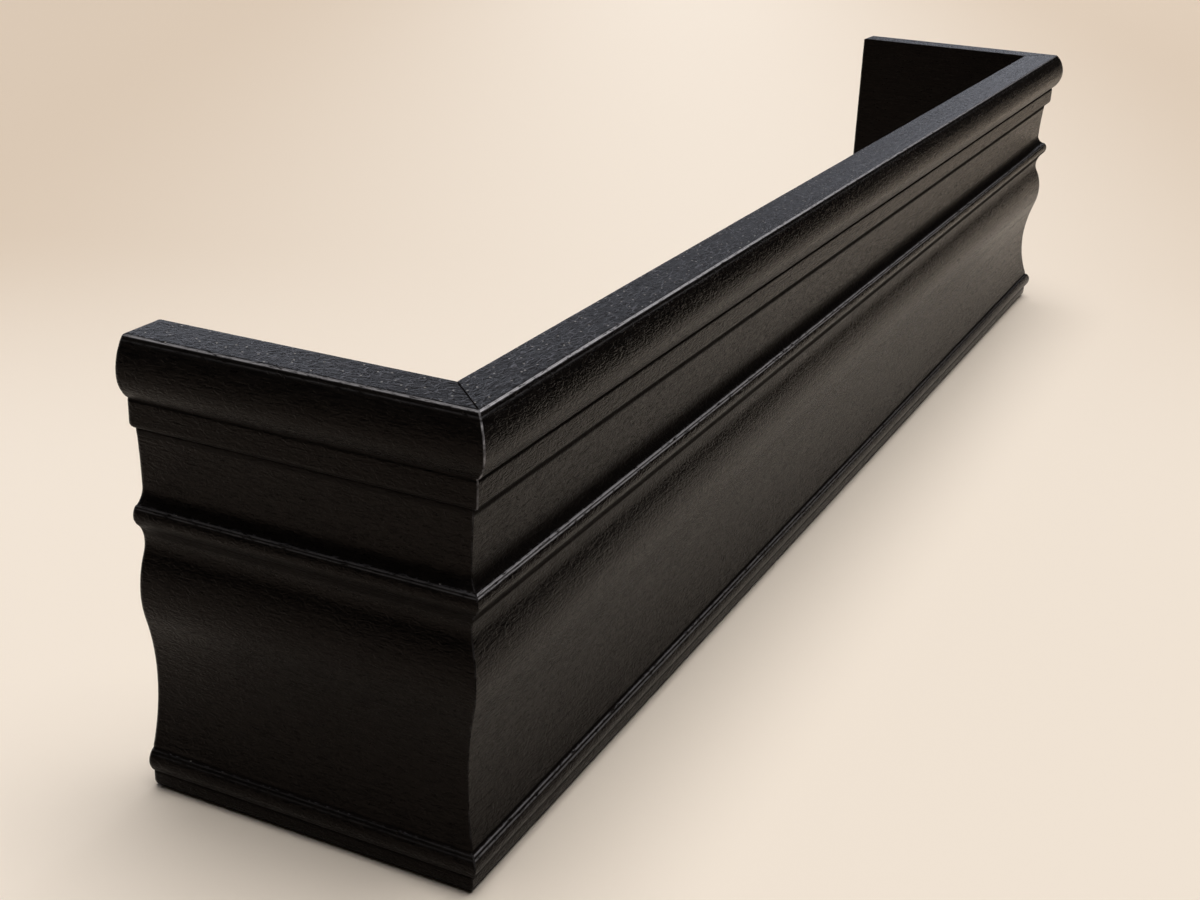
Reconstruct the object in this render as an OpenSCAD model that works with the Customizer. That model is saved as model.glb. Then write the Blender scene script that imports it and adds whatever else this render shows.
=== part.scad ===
// Wooden curtain pelmet: a long moulded front board with a mitred return at each end.
// It stands on its lower edge, or hangs on a wall with the ends of the returns against it.
// X runs along the front board, -Y is the moulded front, +Y is the wall side and Z is up.
// Every thickness is measured from the board's flat back, and every height from its foot.

/* [Pelmet] */
// Clear length between the two returns
inner_length = 735; // [250:5:2400]
// Depth from the front board's flat back to the wall end of each return
return_depth = 110; // [50:1:250]
// Thickness of the planed stock that the boards are moulded from
stock_t = 22; // [18:0.5:30]
// Glue line left between pieces that meet
glue_line = 0.1; // [0.05:0.05:0.3]

/* [Base band and lower bead] */
// Height of the plain band at the foot
base_h = 6.8; // [4:0.2:20]
// How far the band lies below the face of the stock
base_cut = 5; // [4:0.1:7]
// Rounding of the band's bottom edge
base_r = 3; // [1:0.1:3.5]
// Height of the bead above the band
low_bead_h = 8.8; // [6:0.2:12]
// How far that bead stands out from the band
low_bead_out = 2.3; // [1:0.1:3]

/* [Large ogee] */
// Rise from the lower bead to the deepest line of the hollow
hollow_rise = 25.4; // [15:0.2:30]
// How far that line lies below the face of the stock
hollow_cut = 9.7; // [8:0.1:12]
// Rise from the deepest line of the hollow to the crest of the swell
ogee_rise = 34; // [28:0.5:50]
// How far the crest of the swell lies below the face of the stock
swell_cut = 4.2; // [3:0.1:6]
// Share of the ogee's curve that the hollow takes, the swell having the rest
hollow_share = 0.69; // [0.6:0.01:0.75]

/* [Cove and middle bead] */
// Radius of the cove above the swell
cove_r = 10; // [7.5:0.1:15]
// How far the deepest line of the cove lies below the face of the stock
cove_cut = 7.9; // [7:0.1:9]
// Rise from that line to the middle bead
cove_rise = 7; // [4:0.1:7.2]
// Height of the middle bead
mid_bead_h = 7.3; // [5:0.1:12]
// How far the bead's edges lie below the face of the stock
mid_bead_cut = 5; // [4:0.1:6]
// How far the bead stands out from its edges
mid_bead_out = 1.7; // [1:0.1:2.4]

/* [Frieze and fillet] */
// Height of the scotia between the middle bead and the frieze
scotia_h = 5.2; // [4:0.1:9]
// How far the scotia spreads out at its foot
scotia_out = 3.2; // [2:0.1:3.4]
// Height of the frieze
frieze_h = 21.2; // [10:0.2:120]
// How far the frieze's foot lies below the face of the stock
frieze_cut = 8.6; // [7.8:0.1:11]
// How much thicker the frieze is at its head
frieze_flare = 1.2; // [0.4:0.1:2]
// Height of the fillet over the frieze
fillet_h = 10.4; // [6:0.2:20]
// How far the fillet lies below the face of the stock
fillet_cut = 4.6; // [3:0.1:5]
// Rounding of the fillet's lower edge
fillet_r = 2.3; // [0.5:0.1:2.6]

/* [Bullnose and top] */
// Radius of the bullnose below its crest
nose_low_r = 12; // [8:0.5:20]
// Radius of the bullnose above its crest
nose_top_r = 18; // [14:0.5:30]
// Rise from the crest to the flat top
nose_rise = 12; // [6:0.2:13]
// Rounding of the top front arris
arris_r = 1.5; // [0.5:0.1:3]

/* [Corner blocks] */
// Leg of the three-sided block glued into each inner corner
block_leg = 22; // [12:1:40]
// Width of the blunt edge at each tip of the block
block_tip = 3; // [2:0.5:6]
// Flat planed off the block where it would touch the inner line of the mitre
block_relief = 2; // [1:0.5:4]
// Distance from the pelmet's top down to the block
block_top_gap = 30; // [20:1:60]
// Distance from the foot up to the block
block_foot_gap = 12; // [5:1:40]

/* [Hidden] */

// Radius of a circle that falls away by drop at a distance of run from its crest
function fall_r(run, drop) = (run * run + drop * drop) / (2 * drop);

// Thicknesses
base_t = stock_t - base_cut;
hollow_t = stock_t - hollow_cut;
swell_t = stock_t - swell_cut;
cove_t = stock_t - cove_cut;
mid_bead_t = stock_t - mid_bead_cut;
frieze_t = stock_t - frieze_cut;
fillet_t = stock_t - fillet_cut;

// The hollow and the swell touch where one curve turns into the other
ogee_out = swell_t - hollow_t;
ogee_r = fall_r(ogee_rise, ogee_out);
hollow_r = ogee_r * hollow_share;
swell_r = ogee_r - hollow_r;

// The cove touches the swell too, so its height follows from both radii
cove_gap = cove_t + cove_r - (swell_t - swell_r);
cove_climb = sqrt(pow(cove_r + swell_r, 2) - pow(cove_gap, 2));

// The fillet ends where the bullnose circle crosses its face
nose_climb = sqrt(pow(nose_low_r, 2) - pow(nose_low_r - fillet_cut, 2));

// Heights, from the foot up
low_bead_z = base_h;
ogee_z = low_bead_z + low_bead_h;
hollow_z = ogee_z + hollow_rise;
ogee_turn_z = hollow_z + ogee_rise * hollow_share;
swell_z = hollow_z + ogee_rise;
cove_z = swell_z + cove_climb;
cove_turn_z = swell_z + cove_climb * swell_r / (swell_r + cove_r);
mid_bead_z = cove_z + cove_rise;
scotia_z = mid_bead_z + mid_bead_h;
frieze_z = scotia_z + scotia_h;
fillet_z = frieze_z + frieze_h;
quirk_z = fillet_z + fillet_h;
nose_z = quirk_z + nose_climb;
pelmet_h = nose_z + nose_rise;

// The arris circle touches the flat top and the bullnose from inside
nose_top_s = stock_t - nose_top_r;
arris_s = nose_top_s + sqrt(pow(nose_top_r - arris_r, 2) - pow(nose_rise - arris_r, 2));
arris_z = nose_z + (nose_rise - arris_r) * nose_top_r / (nose_top_r - arris_r);

// Flats of the outline stay this close to its curves, and points this close are one
outline_tolerance = 0.02;
same_point = 0.005;

// The cutting shapes run past the boards by this much
past = 5;
// The origin is under the middle of the whole pelmet
centre_y = (return_depth - stock_t) / 2;
half_inner = inner_length / 2;
board_length = inner_length + 2 * stock_t;

// Angle at which a circle of radius r, centred at the height level, crosses the height z.
// Rounding may carry the ratio a hair past one, where there would be no angle.
function height_angle(z, level, r) = asin(max(-1, min(1, (z - level) / r)));

// Angles at which the circle crosses the heights low and high, and those between,
// close enough for flats that stay within the outline's tolerance
function angles(low, high, level, r) =
    let (first = height_angle(low, level, r),
         last = height_angle(high, level, r),
         steps = ceil((last - first) / (2 * acos(1 - outline_tolerance / r))))
    [for (i = [0 : steps]) first + (last - first) * i / steps];

// A straight stretch of the outline, at thickness t
function flat_band(low, high, t) = [[t, low], [t, high]];

// A convex stretch: its circle stands out furthest, to crest, at the height level
function swell_band(low, high, crest, level, r) =
    [for (a = angles(low, high, level, r)) [crest - r + r * cos(a), level + r * sin(a)]];

// A concave stretch: its circle cuts in furthest, to root, at the height level
function hollow_band(low, high, root, level, r) =
    [for (a = angles(low, high, level, r)) [root + r - r * cos(a), level + r * sin(a)]];

// A small bead on a flat of thickness t
function bead_band(low, h, t, out) =
    swell_band(low, low + h, t + out, low + h / 2, fall_r(h / 2, out));

// The face of the moulding, from the foot up
face_points = concat(
    swell_band(0, base_r, base_t, base_r, base_r),
    flat_band(base_r, low_bead_z, base_t),
    bead_band(low_bead_z, low_bead_h, base_t, low_bead_out),
    hollow_band(ogee_z, ogee_turn_z, hollow_t, hollow_z, hollow_r),
    swell_band(ogee_turn_z, cove_turn_z, swell_t, swell_z, swell_r),
    hollow_band(cove_turn_z, mid_bead_z, cove_t, cove_z, cove_r),
    bead_band(mid_bead_z, mid_bead_h, mid_bead_t, mid_bead_out),
    hollow_band(scotia_z, frieze_z, frieze_t, frieze_z, fall_r(scotia_h, scotia_out)),
    hollow_band(frieze_z, fillet_z, frieze_t, frieze_z, fall_r(frieze_h, frieze_flare)),
    swell_band(fillet_z, fillet_z + fillet_r, fillet_t, fillet_z + fillet_r, fillet_r),
    flat_band(fillet_z + fillet_r, quirk_z, fillet_t),
    swell_band(quirk_z, nose_z, stock_t, nose_z, nose_low_r),
    swell_band(nose_z, arris_z, stock_t, nose_z, nose_top_r),
    swell_band(arris_z, pelmet_h, arris_s + arris_r, pelmet_h - arris_r, arris_r));

// Curves that run into each other share an end, which is kept once
function apart(points) =
    [for (i = [0 : len(points) - 1])
        if (i == 0 || norm(points[i] - points[i - 1]) > same_point) points[i]];

// The moulding's outline, with its flat back on the vertical axis
module profile() {
    polygon(concat([[0, 0]], apart(face_points), [[0, pelmet_h]]));
}

// A column over a plan outline, tall enough to pass through every board
module column(points) {
    translate([0, 0, -past]) linear_extrude(pelmet_h + 2 * past) polygon(points);
}

// The mitres lie on lines at 45 degrees through the inner corners.
// Each board stops half a glue line short of them.
mitre_back = glue_line / 2 * sqrt(2);

module front_board() {
    half_back = half_inner - past - mitre_back;
    half_front = half_inner + stock_t + past - mitre_back;
    color("#1d1b1c")
    translate([0, -centre_y, 0])
    intersection() {
        rotate([90, 0, -90]) linear_extrude(board_length, center = true) profile();
        column([[-half_back, past], [half_back, past],
                [half_front, -stock_t - past], [-half_front, -stock_t - past]]);
    }
}

module left_return() {
    color("#151415")
    translate([-half_inner, -centre_y, 0])
    intersection() {
        translate([0, -stock_t, 0])
        rotate([90, 0, 180]) linear_extrude(return_depth + stock_t) profile();
        column([[past, past + mitre_back], [-stock_t - past, -stock_t - past + mitre_back],
                [-stock_t - past, return_depth + past], [past, return_depth + past]]);
    }
}

module right_return() {
    mirror([1, 0, 0]) left_return();
}

// A stick planed to a triangle with blunt tips, glued to the backs of both boards
module left_corner_block() {
    color("#241f1c")
    translate([-half_inner, -centre_y, block_foot_gap])
    linear_extrude(pelmet_h - block_top_gap - block_foot_gap)
    polygon([[glue_line + block_relief, glue_line], [block_leg, glue_line],
             [block_leg, block_tip], [block_tip, block_leg],
             [glue_line, block_leg], [glue_line, glue_line + block_relief]]);
}

module right_corner_block() {
    mirror([1, 0, 0]) left_corner_block();
}

front_board();
left_return();
right_return();
left_corner_block();
right_corner_block();
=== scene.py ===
"""Looks of a moulded wooden curtain pelmet, black lacquered, with mitred returns.

Everything is in metres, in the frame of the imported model: X runs along the front board,
-Y is its moulded face, +Y is the wall side and Z is up.
"""

import math

import bmesh
import bpy
import numpy as np
from mathutils import Matrix, Vector


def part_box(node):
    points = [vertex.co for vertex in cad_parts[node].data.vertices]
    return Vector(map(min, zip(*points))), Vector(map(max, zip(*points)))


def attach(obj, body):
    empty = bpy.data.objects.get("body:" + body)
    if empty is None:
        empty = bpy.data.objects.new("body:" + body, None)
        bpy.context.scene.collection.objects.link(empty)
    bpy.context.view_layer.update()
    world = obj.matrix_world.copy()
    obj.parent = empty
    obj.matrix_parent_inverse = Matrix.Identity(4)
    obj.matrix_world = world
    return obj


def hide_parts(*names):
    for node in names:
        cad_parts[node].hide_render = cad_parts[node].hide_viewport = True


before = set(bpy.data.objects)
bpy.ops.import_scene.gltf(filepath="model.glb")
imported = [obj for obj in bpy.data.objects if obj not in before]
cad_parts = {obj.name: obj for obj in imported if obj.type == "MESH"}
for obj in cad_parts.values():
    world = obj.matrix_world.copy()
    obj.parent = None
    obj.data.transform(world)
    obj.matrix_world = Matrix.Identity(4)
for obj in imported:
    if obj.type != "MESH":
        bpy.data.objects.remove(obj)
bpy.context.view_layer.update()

MM = 0.001

# Points of the CAD model this near to one of its planes lie in it
SAME_PLANE = 0.01 * MM

# The flat backs of the boards, and how far the mitres hold them off each other
back_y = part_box("front_board")[1].y
back_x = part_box("right_return")[0].x
wall_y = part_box("left_return")[1].y
stock = back_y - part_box("front_board")[0].y
mitre_gap = back_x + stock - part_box("front_board")[1].x

# Arrises are sanded and lacquered over, which rounds them by about this much
ARRIS_EASE = 0.28 * MM
MITRE_EASE = 0.22 * MM
WALL_END_EASE = 1.8 * MM
# How strongly the arrises get painted highlight, with some rubbing, at three shares of the
# height. The top gets the most.
WEAR_HEIGHTS = (0.0, 0.6, 0.9)
FRONT_HIGHLIGHT_WEAR = (0.18, 0.8, 1.0)
RETURN_HIGHLIGHT_WEAR = (0.03, 0.04, 0.55)
# How far the mitres are chipped, at the heights whose squares are those shares
MITRE_WEAR = (0.04, 0.08, 0.75)
# On the front board's far end the painted highlight and rubbing are this share of what its near
# end gets
FAR_HIGHLIGHT_SHARE = 0.25
# The returns show this share of the painted shade in their creases and under their overhangs
RETURN_CREASE_SHADE = 0.5
# Highlight lines are painted along the rounded edges, where they face upwards by these angles,
# this wide.
# A rounding wider than this radius gets less of it, and one twice as wide gets none.
HIGHLIGHT_TILTS = np.radians([35, 50, 68])
HIGHLIGHT_WIDTH = 0.14 * MM
BULGE_RADIUS = 5 * MM
# Towards a rounded end an outline shrinks along normals that are blurred by this much
LEAN_BLUR = 1.1 * MM
# Rings of points lie this far apart along a board, and each has this many points
RING_STEP = 8 * MM
RING_POINTS = 640
# A corner block has this many rings between its rounded ends, and this many points in each
BLOCK_RINGS = 10
BLOCK_POINTS = 96
# A corner that turns by one radian gets as many points as this length of a moulded face
CORNER_FILL = 6 * MM
# This near to the flat back, points are this many times as sparse as on the moulded face
BACK_EDGE = 2 * MM
BACK_THINNING = 20
# Next to an end, rings also lie at these distances behind its rounding
END_RINGS = np.array([0.3, 1.0, 2.4]) * MM
# Sanding by hand leaves the faces this far out of true
HAND_WAVE = 0.05 * MM
# Creases are scraped deeper and painted with shade as far as a blur of this width fills them, and
# fully where it fills them this much
CREASE_BLUR, CREASE_PLAIN = 0.9 * MM, 0.16 * MM
# A scraper cleaned out the creases, and left them this much deeper
SCRAPED = 0.35 * MM
# Painted shade reaches in under an overhang, down to a line of this slope, and comes in over this
# width
LEE_SLOPE, LEE_FADE = 1.55, 0.3 * MM
# A face is level from this much of its normal up or down
LEVEL = 0.98
# Dust specks lie about this far apart on the flat top
SPECK_SPACING = 7 * MM

# The camera, solved from the photograph's own perspective
CAMERA_PLACE = (-0.7723, -0.2796, 0.3355)
CAMERA_AZIMUTH = 65.03
CAMERA_DOWN = 22.2
CAMERA_ROLL = 2.41
CAMERA_LENS = 50.9
# Its line of sight, seen from above, lies at this many degrees from X
SIGHT_LINE = 25.0

# The paper ends just beyond the picture's right side, where a place's dot product with
# PAPER_SIDE passes the first of two numbers, and again at a distance. A dark floor colour,
# painted for reflections only as shade in them, has taken over at the second number.
PAPER_SIDE = (0.0965, -1.0, 0.0)
PAPER_SIDE_FADE = (0.44, 0.47)
PAPER_END_FADE = (2.2, 2.4)


def linear(code):
    """Linear red, green, blue and alpha of an sRGB hex value such as "1a1b1c"."""
    parts = np.array([int(code[i:i + 2], 16) for i in (0, 2, 4)]) / 255
    flat = np.where(parts <= 0.04045, parts / 12.92, ((parts + 0.055) / 1.055) ** 2.4)
    return (*flat.tolist(), 1.0)


# Outlines

def node_points(node):
    """The points of a CAD node, as an array."""
    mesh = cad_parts[node].data
    place = np.empty(len(mesh.vertices) * 3)
    mesh.vertices.foreach_get("co", place)
    return place.reshape(-1, 3)


def moulding_face():
    """Thickness and height along the moulded face, from the foot up.

    They are read off the square wall end of the left return. Where a ledge gives one
    height two thicknesses, the one nearer to the point before it comes first.
    """
    place = node_points("left_return")
    end = place[place[:, 1] > wall_y - SAME_PLANE]
    points = np.unique(np.round(np.c_[end[:, 2], -back_x - end[:, 0]], 6), axis=0)
    # The flat back isn't part of the face
    points = points[points[:, 1] > SAME_PLANE]
    for i in range(1, len(points) - 1):
        if points[i, 0] == points[i + 1, 0]:
            step = np.abs(points[i:i + 2, 1] - points[i - 1, 1])
            if step[1] < step[0]:
                points[[i, i + 1]] = points[[i + 1, i]]
    return points[:, ::-1]


def blurred(values, width, step):
    """Values spaced a step apart round a closed outline, blurred by a bell curve."""
    wave = np.fft.fftfreq(len(values), d=step)
    bell = np.exp(-2 * (math.pi * wave * width) ** 2)
    return np.real(np.fft.ifft(np.fft.fft(values, axis=0) * bell[:, None], axis=0))


def outline_normals(loop):
    """Outward normals of a closed outline that runs anticlockwise, by central differences."""
    along = np.roll(loop, -1, axis=0) - np.roll(loop, 1, axis=0)
    along /= np.linalg.norm(along, axis=1)[:, None]
    return np.c_[along[:, 1], -along[:, 0]]


def tightness(normal, step):
    """From 0 to 1, how tight a bulge is at each point of an outline.

    It is twice BULGE_RADIUS over the bulge's own radius, less 1. A hollow counts as 0.
    """
    tilt = np.arctan2(normal[:, 1], normal[:, 0])
    bend = (np.roll(tilt, -1) - tilt + math.pi) % (2 * math.pi) - math.pi
    return np.clip(2 * BULGE_RADIUS * bend / step - 1, 0, 1)


def highlight_lines(normal, step):
    """From 0 to 1, how near a point of the outline is to a painted highlight line.

    Such a line is where the outline, going up a bulge, comes to face upwards by one of the
    angles of HIGHLIGHT_TILTS. It fades as a bell curve of the length along the outline, and its
    strength is the bulge's tightness. The angle's own jump by a full turn is no such line.
    """
    tight = tightness(normal, step)
    tilt = np.arctan2(normal[:, 1], normal[:, 0])
    ahead = np.roll(tilt, -1)
    place = np.arange(len(normal)) * step
    near = np.zeros(len(normal))
    for angle in HIGHLIGHT_TILTS:
        for i in np.flatnonzero((tilt < angle) & (ahead >= angle) & (ahead - tilt < 1)):
            bell = np.exp(-0.5 * ((place - place[i]) / HIGHLIGHT_WIDTH) ** 2)
            near = np.maximum(near, tight[i] * bell)
    return near


def overhang_shade(loop, normal, step):
    """From 0 to 1, whether a point lies in the lee of a part that stands out above it.

    A line that slopes down from each point, LEE_SLOPE down for each unit inwards, bounds
    what it shelters, and that gets painted shade. The share goes up to 1 over LEE_FADE. The
    underside of a tight bulge gets it too, as far as it faces down. All of it holds only for
    what faces outwards.
    """
    order = np.argsort(loop[:, 1])[::-1]
    reach = loop[order, 0] - loop[order, 1] / LEE_SLOPE
    best = np.maximum.accumulate(reach)
    share = np.empty(len(loop))
    share[order] = np.clip((best - reach) / LEE_FADE, 0, 1)
    under = tightness(normal, step) * np.clip(-3.5 * normal[:, 1] - 0.5, 0, 1)
    return np.maximum(share, under) * np.clip(5 * normal[:, 0], 0, 1)


def eased_outline(corners, count):
    """A closed outline with rounded corners: its points, normals, leans, painted highlight lines,
    and creases with painted shade.

    The outline is sampled evenly along its length and blurred by a bell curve as wide as
    the ease. The samples kept are spaced by length plus a share of the turning, so that
    the corners get their fill. A lean is a normal that is blurred more widely. Creases run
    from 0 to 1 by how far another blur fills them, and are scraped deeper and painted with
    shade by that share. What an overhang shelters gets painted shade too, but isn't scraped.
    """
    step = ARRIS_EASE / 4
    closed = np.vstack([corners, corners[:1]])
    length = np.r_[0, np.cumsum(np.linalg.norm(np.diff(closed, axis=0), axis=1))]
    even = np.linspace(0, length[-1], int(length[-1] / step), endpoint=False)
    loop = np.stack([np.interp(even, length, c) for c in closed.T], -1)
    loop = blurred(loop, ARRIS_EASE, step)
    normal = outline_normals(loop)
    filled = ((blurred(loop, CREASE_BLUR, step) - loop) * normal).sum(axis=1)
    crease_and_shade = np.clip(filled / CREASE_PLAIN, 0, 1) ** 1.5
    loop = blurred(loop - SCRAPED * crease_and_shade[:, None] * normal, ARRIS_EASE / 2, step)
    normal = outline_normals(loop)
    ahead, behind = np.roll(normal, -1, axis=0), np.roll(normal, 1, axis=0)
    turn = np.arctan2(behind[:, 0] * ahead[:, 1] - behind[:, 1] * ahead[:, 0],
                      (behind * ahead).sum(axis=1)) / 2
    on_back = loop[:, 0] < BACK_EDGE
    room = np.r_[0, np.cumsum(np.where(on_back, step / BACK_THINNING, step)
                              + CORNER_FILL * np.abs(turn))]
    kept = np.linspace(0, room[-1], count, endpoint=False)
    lean = blurred(normal, LEAN_BLUR, step)
    rub_and_highlight = highlight_lines(normal, step)
    # Painted shade under overhangs joins the painted shade of the creases
    crease_and_shade = np.maximum(crease_and_shade, overhang_shade(loop, normal, step))
    values = np.c_[loop, normal, lean, rub_and_highlight, crease_and_shade]
    picked = np.stack([np.interp(kept, room, np.r_[v, v[:1]]) for v in values.T], -1)
    return picked[:, :2], picked[:, 2:4], picked[:, 4:6], picked[:, 6], picked[:, 7]


# Skins

def ringed_skin(name, rings, marks):
    """A closed skin through rings of points, rings[ring, point], with a flat cap at each end.

    marks holds a number for each point, which the finish reads.
    """
    count, around, _ = rings.shape
    index = np.arange(count * around).reshape(count, around)
    here, there = index[:-1], index[1:]
    quads = np.stack([here, np.roll(here, -1, 1), np.roll(there, -1, 1), there], -1)
    faces = quads.reshape(-1, 4).tolist() + [index[0].tolist(), index[-1].tolist()]
    mesh = bpy.data.meshes.new(name)
    mesh.from_pydata(rings.reshape(-1, 3), [], faces)
    for key, numbers in marks.items():
        layer = mesh.attributes.new(key, "FLOAT", "POINT")
        numbers = np.broadcast_to(numbers, (count, around)).astype(np.float32)
        layer.data.foreach_set("value", numbers.ravel())
    smooth = np.ones(len(faces), dtype=bool)
    smooth[-2:] = False
    mesh.polygons.foreach_set("use_smooth", smooth)
    outward = bmesh.new()
    outward.from_mesh(mesh)
    bmesh.ops.recalc_face_normals(outward, faces=outward.faces)
    outward.to_mesh(mesh)
    outward.free()
    piece = bpy.data.objects.new(name, mesh)
    bpy.context.scene.collection.objects.link(piece)
    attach(piece, "root")
    return piece


def end_rounding(ease, steps=4):
    """For the rings at one end: how far they lie inside the outline, and behind the end.

    The first follow a quarter circle: ease times one minus the cosine, and ease times one
    minus the sine. The rest lie on the full outline.
    """
    angle = np.linspace(math.pi / 2, 0, steps + 1)
    return (np.r_[ease * (1 - np.cos(angle)), 0 * END_RINGS],
            np.r_[ease * (1 - np.sin(angle)), ease + END_RINGS])


def hand_wave(along, around, seed):
    """How far sanding leaves a face from its outline, which is always inwards.

    It is the mean of products of two slow sines, along the board and around it, less 1.
    """
    draw = np.random.default_rng(seed)
    # Wavelengths in millimetres, along and around
    waves = [(37, 47), (53, 23), (87, 61), (140, 35), (43, 83)]
    swell = 0
    for length, width in waves:
        phase = draw.uniform(0, 2 * math.pi, 2)
        swell = swell + (np.sin(2 * math.pi * along / (length * MM) + phase[0])
                         * np.sin(2 * math.pi * around / (width * MM) + phase[1]))
    return HAND_WAVE * (swell / len(waves) - 1)


def board(name, start, stop, ends, place, highlight_wear_shade, seed):
    """A moulded board: its outline carried from one end to the other.

    start and stop give where the board begins and ends at each thickness, so that a mitre
    moves out one for one with thickness. ends holds, for each of the two, its rounding and
    whether it is a mitre. place turns distance along the board, thickness and height into
    points. highlight_wear_shade holds how strongly the arrises of the moulded face get painted
    highlight, with some rubbing, at WEAR_HEIGHTS, the share of that at the board's far end,
    and the share of the painted shade in its creases and under its overhangs that shows.
    """
    (start_ease, start_mitred), (stop_ease, stop_mitred) = ends
    highlight_wear_levels, far_highlight_share, crease_shade_share = highlight_wear_shade
    face = moulding_face()
    corners = np.vstack([[0, 0], face, [0, face[-1, 1]]])
    loop, normal, lean, rub_and_highlight, crease_and_shade = eased_outline(corners, RING_POINTS)
    around = np.r_[0, np.cumsum(np.linalg.norm(np.diff(loop, axis=0), axis=1))]
    inset_a, behind_a = end_rounding(start_ease)
    inset_b, behind_b = end_rounding(stop_ease)
    between = np.linspace(0, 1, int((stop(0) - start(0)) / RING_STEP))[1:-1]
    inset = np.r_[inset_a, 0 * between, inset_b[::-1]][:, None]
    share = np.r_[0 * inset_a, between, 0 * inset_b + 1][:, None]
    shift = np.r_[behind_a, 0 * between, -behind_b[::-1]][:, None]
    # From 0 to 1, whether a ring lies on the rounding of a mitre
    mitred = np.r_[(behind_a <= start_ease) * start_mitred, 0 * between,
                   (behind_b[::-1] <= stop_ease) * stop_mitred][:, None]
    thickness = loop[:, 0] - inset * lean[:, 0]
    height = loop[:, 1] - inset * lean[:, 1]
    along = start(thickness) * (1 - share) + stop(thickness) * share + shift
    # Sanding doesn't reach what faces down
    sink = hand_wave(along, around, seed) * np.clip(1 + normal[:, 1], 0, 1)
    rings = place(along, thickness + sink * normal[:, 0], height + sink * normal[:, 1])
    # Painted highlight and wear keep to the outer two thirds of the thickness, and off what is
    # level
    moulded = (np.clip(3 * loop[:, 0] / stock - 1, 0, 1)
               * np.clip(10 * (LEVEL - np.abs(normal[:, 1])), 0, 1))
    upwards = loop[:, 1] / face[-1, 1]
    arris_highlight_wear = np.interp(upwards, WEAR_HEIGHTS, highlight_wear_levels) * (1 - (1 - far_highlight_share) * share ** 1.5)
    # Across the flat top, a mitre shows as a dark line
    flat_top = np.clip(50 * (normal[:, 1] - LEVEL), 0, 1)
    return ringed_skin(name, rings, {
        # Painted highlight along the rounded arrises, with some rubbing
        "rub_and_highlight": moulded * arris_highlight_wear * rub_and_highlight * (1 - mitred),
        "chip": moulded * np.interp(upwards ** 2, WEAR_HEIGHTS, MITRE_WEAR) * mitred,
        # Painted shade in creases and under overhangs, and the dark mitre line across the top
        "crease_and_shade": np.maximum(crease_shade_share * crease_and_shade, flat_top * mitred),
    })


# Where points lie, from the distance along a board, the thickness and the height

def front_place(along, thickness, height):
    return np.stack([along, back_y - thickness, height], -1)


def left_place(along, thickness, height):
    return np.stack([-back_x - thickness, along, height], -1)


def right_place(along, thickness, height):
    return np.stack([back_x + thickness, along, height], -1)


# Where boards start and stop. A mitre lies at 45 degrees, so it moves with the thickness.

def front_start(thickness):
    return -(back_x + thickness - mitre_gap)


def front_stop(thickness):
    return back_x + thickness - mitre_gap


def return_start(thickness):
    return back_y - thickness + mitre_gap


def return_stop(thickness):
    return wall_y + 0 * thickness


def corner_block(name, node, side):
    """A sawn three-sided stick: the outline of its CAD node, eased and carried upwards.

    Its rounded ends are marked, and the finish colours them lighter.
    """
    low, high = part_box(node)
    inner = back_x * side
    place = node_points(node)
    foot = place[place[:, 2] < low.z + SAME_PLANE]
    plan = np.unique(np.round(np.c_[(inner - foot[:, 0]) * side, foot[:, 1] - back_y], 6), axis=0)
    out = plan - plan.mean(axis=0)
    plan = plan[np.argsort(np.arctan2(out[:, 1], out[:, 0]))]
    loop, _, lean, _, _ = eased_outline(plan, BLOCK_POINTS)
    inset, behind = end_rounding(2 * ARRIS_EASE)
    between = np.linspace(low.z, high.z, BLOCK_RINGS + 4)[2:-2]
    inset_all = np.r_[inset, 0 * between, inset[::-1]][:, None]
    height = np.r_[low.z + behind, between, high.z - behind[::-1]][:, None]
    along_x = loop[:, 0] - inset_all * lean[:, 0]
    along_y = loop[:, 1] - inset_all * lean[:, 1]
    rings = np.stack([inner - side * along_x, back_y + along_y, height + 0 * along_x], -1)
    return ringed_skin(name, rings, {"rub_and_highlight": inset_all > 0})


# Finishes

def add(tree, kind, inputs=None, **settings):
    """Adds a node with its settings.

    Each input takes a value, a socket to link from, or a node, to link from its first socket.
    """
    made = tree.nodes.new("ShaderNode" + kind)
    for key, value in settings.items():
        setattr(made, key, value)
    for key, value in (inputs or {}).items():
        if isinstance(value, bpy.types.Node):
            value = value.outputs[0]
        if isinstance(value, bpy.types.NodeSocket):
            tree.links.new(value, made.inputs[key])
        else:
            made.inputs[key].default_value = value
    return made


def new_material(name):
    material = bpy.data.materials.new(name)
    material.use_nodes = True
    material.node_tree.nodes.clear()
    return material, material.node_tree


def pattern(tree, place, cell, spread, detail=2.0, curl=0.0):
    """A noise with cells of the given millimetres along X, Y and Z.

    spread gives the two levels of the noise that become 0 and 1. curl bends the cells.
    """
    scaled = add(tree, "Mapping", {"Vector": place, "Scale": [1 / (size * MM) for size in cell]})
    noise = add(tree, "TexNoise", {"Vector": scaled, "Scale": 1.0, "Detail": detail,
                                   "Roughness": 0.6, "Distortion": curl})
    return add(tree, "MapRange", {"Value": noise, "From Min": spread[0], "From Max": spread[1]},
               interpolation_type="SMOOTHSTEP")


def layered_colour(tree, base, layers):
    """A colour with others laid over it in turn, each by its own share from 0 to 1."""
    colour = base
    for share, over in layers:
        mixed = add(tree, "Mix", {"Factor": share, "A": colour, "B": over}, data_type="RGBA")
        colour = mixed.outputs["Result"]
    return colour


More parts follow.
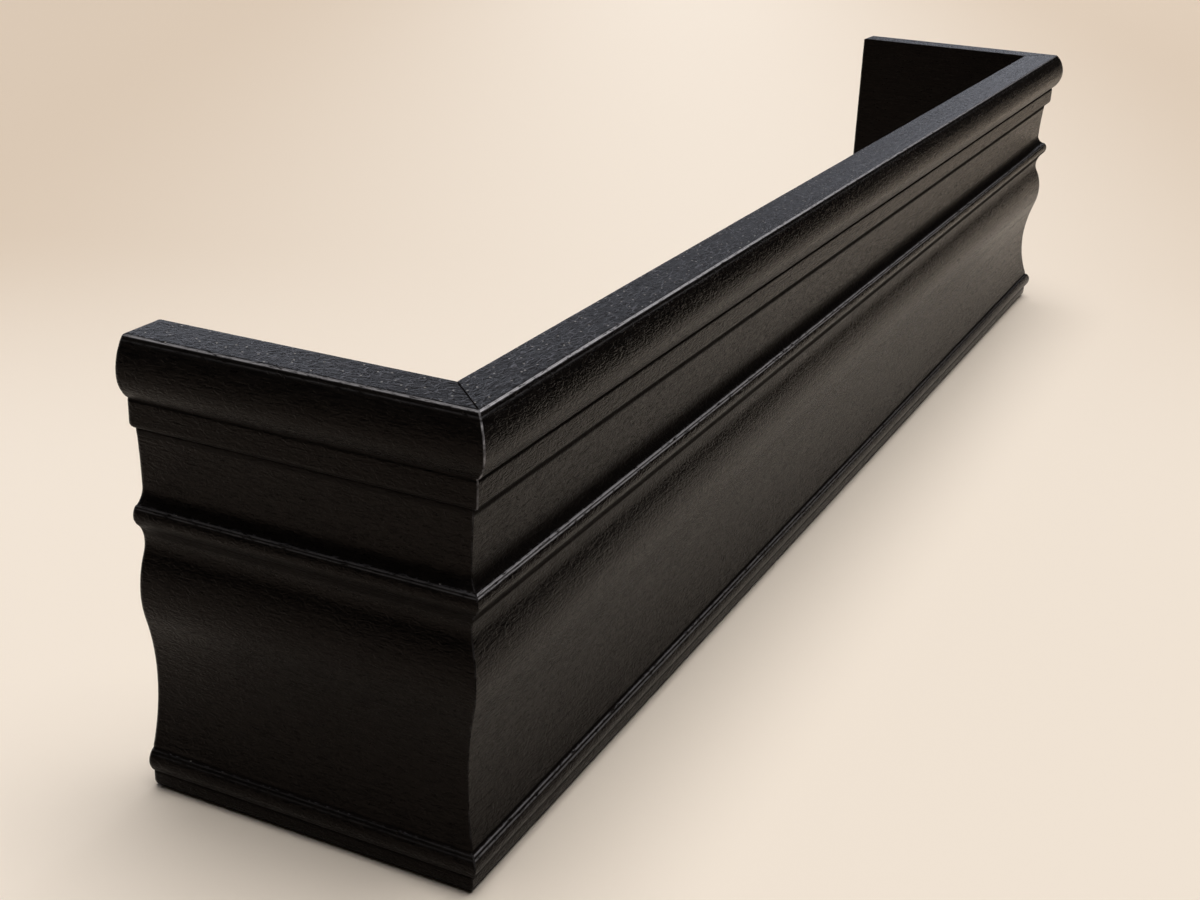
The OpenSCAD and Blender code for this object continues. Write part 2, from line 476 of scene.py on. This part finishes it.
def lacquered_wood(name, grain_axis):
    """Open-pored hardwood, stained black and brushed with two coats of satin lacquer.

    It is so dark that the eye reads only the gloss: broad soft reflections that grow
    towards grazing angles, broken by fibres, by open pores and by the lacquer's ripples.
    Lines of highlight along the arrises and shade in the creases are painted into its colour.
    """
    material, tree = new_material(name)
    place = add(tree, "TexCoord").outputs["Object"]

    def cell(along, across):
        return [along if axis == grain_axis else across for axis in range(3)]

    # Real fibres and pores are about 0.2 mm wide, and are drawn coarser so that they show
    fibres = pattern(tree, place, cell(9, 0.55), (0.35, 0.65), detail=3.0, curl=0.3)
    pores = pattern(tree, place, cell(6, 0.9), (0.60, 0.68))
    # The moulder's knives leave faint lines that run the length of the board
    knife_lines = pattern(tree, place, cell(400, 2.2), (0.3, 0.7))
    # Brushed lacquer dries in ripples, a couple of millimetres apart
    ripples = pattern(tree, place, cell(3.8, 1.8), (0.28, 0.72), detail=1.5, curl=1.8)

    # Arrises get painted highlight lines, with some rubbing, broken into short strokes, and
    # mitres are chipped pale in small nicks
    strokes = pattern(tree, place, cell(3.5, 0.7), (0.32, 0.50), detail=5.0)
    nicks = pattern(tree, place, cell(4.5, 4.5), (0.36, 0.66), detail=4.0)
    rub_and_highlight = add(tree, "Attribute", attribute_name="rub_and_highlight").outputs["Fac"]
    chip = add(tree, "Attribute", attribute_name="chip").outputs["Fac"]
    highlight_strokes = add(tree, "Math", {0: rub_and_highlight, 1: strokes}, operation="MULTIPLY")
    chipped = add(tree, "Math", {0: chip, 1: nicks}, operation="MULTIPLY")
    highlight_and_chips = add(tree, "Math", {0: highlight_strokes, 1: chipped}, operation="MAXIMUM")
    # Painted shade in creases and under overhangs, and dark mitre lines across the top
    crease_and_shade = add(tree, "Attribute", attribute_name="crease_and_shade").outputs["Fac"]

    # Where it lies thick, on what faces up, the lacquer wrinkles in short curls as well:
    # the rims of bent cells, here and there. Dust keeps to them, and lies about in specks.
    facing = add(tree, "SeparateXYZ", {"Vector": add(tree, "NewGeometry").outputs["Normal"]})
    level = add(tree, "MapRange", {"Value": facing.outputs["Z"], "From Min": 0.9,
                                   "From Max": LEVEL})
    scaled = add(tree, "Mapping", {"Vector": place,
                                   "Scale": [1 / (size * MM) for size in cell(5.0, 2.4)]})
    drift = add(tree, "TexNoise", {"Vector": scaled, "Scale": 0.9, "Detail": 1.0})
    bent = add(tree, "VectorMath", {0: drift.outputs["Color"], 1: (1.4, 1.4, 1.4), 2: scaled},
               operation="MULTIPLY_ADD")
    curls = add(tree, "TexVoronoi", {"Vector": bent, "Scale": 1.0}, voronoi_dimensions="2D",
                feature="DISTANCE_TO_EDGE")
    rims = add(tree, "MapRange", {"Value": curls.outputs["Distance"], "From Min": 0.10,
                                  "From Max": 0.02})
    patches = pattern(tree, place, cell(6, 4), (0.40, 0.58))
    wrinkles = add(tree, "Math", {0: rims, 1: patches}, operation="MULTIPLY")
    dust = add(tree, "Math", {0: wrinkles, 1: level}, operation="MULTIPLY")
    sown = add(tree, "Mapping", {"Vector": place, "Scale": [1 / SPECK_SPACING] * 3})
    speck = add(tree, "TexVoronoi", {"Vector": sown, "Scale": 1.0}, voronoi_dimensions="2D")
    dots = add(tree, "MapRange", {"Value": speck.outputs["Distance"], "From Min": 0.06,
                                  "From Max": 0.035})
    specks = add(tree, "Math", {0: dots, 1: level}, operation="MULTIPLY")

    colour = layered_colour(tree, linear("080707"), [
        (fibres, linear("110f0e")),
        (pores, linear("040303")),
        (dust, linear("424247")),
        (specks, linear("8c8a88")),
        # Near-black painted shade in creases and under overhangs, and the dark mitre lines
        (crease_and_shade, linear("030202")),
        # Painted highlight along the arrises, with some rubbing, and pale chips at the mitres
        (highlight_and_chips, linear("d0d0d8")),
    ])
    gloss = add(tree, "MapRange", {"Value": ripples, "To Min": 0.16, "To Max": 0.26})
    lined = add(tree, "Math", {0: knife_lines, 1: 0.05, 2: gloss}, operation="MULTIPLY_ADD")
    rough = add(tree, "Math", {0: crease_and_shade, 1: 0.6, 2: lined}, operation="MULTIPLY_ADD")
    cut = add(tree, "Bump", {"Height": knife_lines, "Distance": 0.03 * MM, "Strength": 1.0})
    fibrous = add(tree, "Bump", {"Height": fibres, "Distance": 0.035 * MM, "Strength": 1.0,
                                 "Normal": cut})
    porous = add(tree, "Bump", {"Height": pores, "Distance": 0.05 * MM, "Strength": 1.0,
                                "Normal": fibrous}, invert=True)
    thin = add(tree, "Bump", {"Height": ripples, "Distance": 0.11 * MM, "Strength": 1.0,
                              "Normal": porous})
    thick = add(tree, "Bump", {"Height": wrinkles, "Distance": 0.22 * MM, "Strength": 1.0,
                               "Normal": thin})
    film = add(tree, "Mix", {"Factor": level, "A": thin, "B": thick}, data_type="VECTOR")
    surface = add(tree, "BsdfPrincipled", {"Base Color": colour, "Roughness": rough, "IOR": 1.155,
                                           "Specular Tint": linear("ffeae0"),
                                           "Normal": film.outputs["Result"]})
    add(tree, "OutputMaterial", {"Surface": surface})
    return material


def stained_softwood(name):
    """Sawn softwood under one thin coat of black stain: dull, with saw marks across it."""
    material, tree = new_material(name)
    place = add(tree, "TexCoord").outputs["Object"]
    grain = pattern(tree, place, (1.6, 1.6, 40), (0.35, 0.65), detail=3.0)
    saw = pattern(tree, place, (30, 30, 1.4), (0.35, 0.65))
    rub_and_highlight = add(tree, "Attribute", attribute_name="rub_and_highlight").outputs["Fac"]
    colour = layered_colour(tree, linear("1a1513"), [
        (grain, linear("2a231f")),
        (rub_and_highlight, linear("3b332d")),
    ])
    marks = add(tree, "Bump", {"Height": saw, "Distance": 0.12 * MM, "Strength": 1.0})
    fibrous = add(tree, "Bump", {"Height": grain, "Distance": 0.08 * MM, "Strength": 1.0,
                                 "Normal": marks})
    surface = add(tree, "BsdfPrincipled", {"Base Color": colour, "Roughness": 0.7, "IOR": 1.45,
                                           "Normal": fibrous})
    add(tree, "OutputMaterial", {"Surface": surface})
    return material


# Studio

def make_camera():
    """Looks along the azimuth, tipped down, and rolled so that its right side rises."""
    azimuth, down, roll = map(math.radians, (CAMERA_AZIMUTH, CAMERA_DOWN, CAMERA_ROLL))
    ahead = Vector((math.sin(azimuth) * math.cos(down), math.cos(azimuth) * math.cos(down),
                    -math.sin(down)))
    level = ahead.cross(Vector((0, 0, 1))).normalized()
    right = level * math.cos(roll) + level.cross(ahead) * math.sin(roll)
    data = bpy.data.cameras.new("camera")
    data.lens = CAMERA_LENS
    data.sensor_width = 36
    data.clip_start = 0.01
    camera = bpy.data.objects.new("camera", data)
    turn = Matrix((right, right.cross(ahead), -ahead)).transposed().to_4x4()
    camera.matrix_world = Matrix.Translation(CAMERA_PLACE) @ turn
    bpy.context.scene.collection.objects.link(camera)
    bpy.context.scene.camera = camera


def studio_paper(name):
    """Matt cream paper with painted shade: palest along the line of sight, dimmer to both sides.

    It covers what the camera's picture shows and a margin. Beyond its right side and its far
    end it is painted dark for reflections only, as shade in what the pelmet reflects: the
    camera's own rays see cream there too.
    """
    material, tree = new_material(name)
    place = add(tree, "TexCoord").outputs["Object"]
    # Turned X runs along the line of sight, and turned Y across it. Painted shade dims the
    # paper over 0.65 m to each side, and only beyond the near end of the object.
    turned = add(tree, "Mapping", {"Vector": place, "Rotation": (0, 0, -math.radians(SIGHT_LINE)),
                                   "Location": (0, 0.03, 0)})
    sight = add(tree, "SeparateXYZ", {"Vector": turned})
    across = add(tree, "Math", {0: sight.outputs["Y"]}, operation="ABSOLUTE")
    aside = add(tree, "MapRange", {"Value": across, "From Min": 0.0, "From Max": 0.65},
                interpolation_type="SMOOTHSTEP")
    away = add(tree, "MapRange", {"Value": sight.outputs["X"], "From Min": -0.1, "From Max": 0.4},
               interpolation_type="SMOOTHSTEP")
    dimmed = add(tree, "Math", {0: aside, 1: away}, operation="MULTIPLY")

    side = add(tree, "VectorMath", {0: place, 1: PAPER_SIDE}, operation="DOT_PRODUCT")
    past_side = add(tree, "MapRange", {"Value": side.outputs["Value"],
                                       "From Min": PAPER_SIDE_FADE[0],
                                       "From Max": PAPER_SIDE_FADE[1]})
    reach = add(tree, "VectorMath", {0: place}, operation="LENGTH")
    past_end = add(tree, "MapRange", {"Value": reach.outputs["Value"],
                                      "From Min": PAPER_END_FADE[0],
                                      "From Max": PAPER_END_FADE[1]})
    past = add(tree, "Math", {0: past_side, 1: past_end}, operation="MAXIMUM")
    seen = add(tree, "LightPath").outputs["Is Camera Ray"]
    unseen = add(tree, "Math", {0: 1.0, 1: seen}, operation="SUBTRACT")
    beyond = add(tree, "Math", {0: past, 1: unseen}, operation="MULTIPLY")

    colour = layered_colour(tree, linear("f4ebe0"), [
        # Painted shade to the sides of the line of sight
        (dimmed, linear("dccdbc")),
        # Painted dark floor, seen only in reflections, as shade in them
        (beyond, linear("2c2825")),
    ])
    surface = add(tree, "BsdfPrincipled", {"Base Color": colour, "Roughness": 0.8,
                                           "Specular IOR Level": 0.1})
    add(tree, "OutputMaterial", {"Surface": surface})
    return material


def make_floor():
    """A round floor that fills the view."""
    radius, sides = 9.0, 96
    turn = np.linspace(0, 2 * math.pi, sides, endpoint=False)
    rim = np.c_[radius * np.cos(turn), radius * np.sin(turn), 0 * turn]
    mesh = bpy.data.meshes.new("floor")
    mesh.from_pydata(rim, [], [list(range(sides))])
    mesh.materials.append(studio_paper("cream studio paper"))
    floor = bpy.data.objects.new("floor", mesh)
    bpy.context.scene.collection.objects.link(floor)


def make_world():
    """A dim warm room with a cool wall on one side, and a window in it up to head height."""
    world = bpy.data.worlds.new("studio")
    bpy.context.scene.world = world
    world.use_nodes = True
    tree = world.node_tree
    tree.nodes.clear()
    toward = add(tree, "SeparateXYZ", {"Vector": add(tree, "TexCoord").outputs["Generated"]})

    def band(axis, first, last, top=1.0):
        """Rises from 0 to top as a direction's part along the axis goes from first to last."""
        return add(tree, "MapRange", {"Value": toward.outputs[axis], "From Min": first,
                                      "From Max": last, "To Max": top},
                   interpolation_type="SMOOTHSTEP")

    wall = band("Y", 0.02, 0.16, top=0.36)
    window = band("Y", 0.33, 0.62, top=0.80)
    # The room is brightest beyond the far end, and dark above head height and behind
    end = add(tree, "MapRange", {"Value": toward.outputs["X"], "From Min": 0.92, "From Max": 0.98,
                                 "To Min": 0.7, "To Max": 1.6}, interpolation_type="SMOOTHSTEP")
    share = add(tree, "Math", {0: wall, 1: window}, operation="ADD")
    for part in (end, band("X", -0.4, 0.6), band("Z", 0.48, 0.20)):
        share = add(tree, "Math", {0: share, 1: part}, operation="MULTIPLY")
    glow = layered_colour(tree, linear("1d1916"), [(share, linear("ebf0ff"))])
    studio = add(tree, "Background", {"Color": glow, "Strength": 1.5})
    paper = add(tree, "Background", {"Color": linear("f0e3d2"), "Strength": 1.0})
    seen = add(tree, "LightPath").outputs["Is Camera Ray"]
    both = add(tree, "MixShader", {0: seen, 1: studio, 2: paper})
    add(tree, "OutputWorld", {"Surface": both})


def aim(lamp, place, target):
    lamp.location = place
    lamp.rotation_euler = (Vector(target) - Vector(place)).to_track_quat("-Z", "Y").to_euler()
    bpy.context.scene.collection.objects.link(lamp)


def make_lamps():
    """A broad ceiling light, and a tall strip light beyond the far end for the arrises."""
    ceiling = bpy.data.lights.new("ceiling", "SUN")
    ceiling.energy = 2.95
    ceiling.angle = math.radians(54)
    ceiling.color = linear("fffaf4")[:3]
    aim(bpy.data.objects.new("ceiling", ceiling), (0.1, -0.09, 0.99), (0, 0, 0))
    strip = bpy.data.lights.new("strip", "AREA")
    strip.shape = "RECTANGLE"
    strip.size, strip.size_y = 0.3, 1.2
    strip.energy = 6
    strip.color = linear("f6f8ff")[:3]
    aim(bpy.data.objects.new("strip", strip), (3.0, 0.25, 1.8), (0, -0.05, 0.165))


# The pelmet

def make_pelmet():
    along_x = lacquered_wood("black lacquered hardwood, grain along X", 0)
    along_y = lacquered_wood("black lacquered hardwood, grain along Y", 1)
    mitre, wall_end = (MITRE_EASE, True), (WALL_END_EASE, False)
    front = (front_start, front_stop, (mitre, mitre))
    side = (return_start, return_stop, (mitre, wall_end))
    boards = [
        ("front_board", front, front_place, (FRONT_HIGHLIGHT_WEAR, FAR_HIGHLIGHT_SHARE, 1), along_x),
        ("left_return", side, left_place, (RETURN_HIGHLIGHT_WEAR, 1, RETURN_CREASE_SHADE), along_y),
        ("right_return", side, right_place, (RETURN_HIGHLIGHT_WEAR, 1, RETURN_CREASE_SHADE), along_y),
    ]
    for seed, (node, run, place, highlight_wear_shade, material) in enumerate(boards):
        piece = board(node + "_moulding", *run, place, highlight_wear_shade, seed)
        piece.data.materials.append(material)
        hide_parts(node)
    block_finish = stained_softwood("black stained softwood")
    for side, node in ((-1, "left_corner_block"), (1, "right_corner_block")):
        piece = corner_block(node + "_stick", node, side)
        piece.data.materials.append(block_finish)
        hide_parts(node)


bpy.context.scene.view_settings.view_transform = "Standard"
make_camera()
make_pelmet()
make_floor()
make_world()
make_lamps()
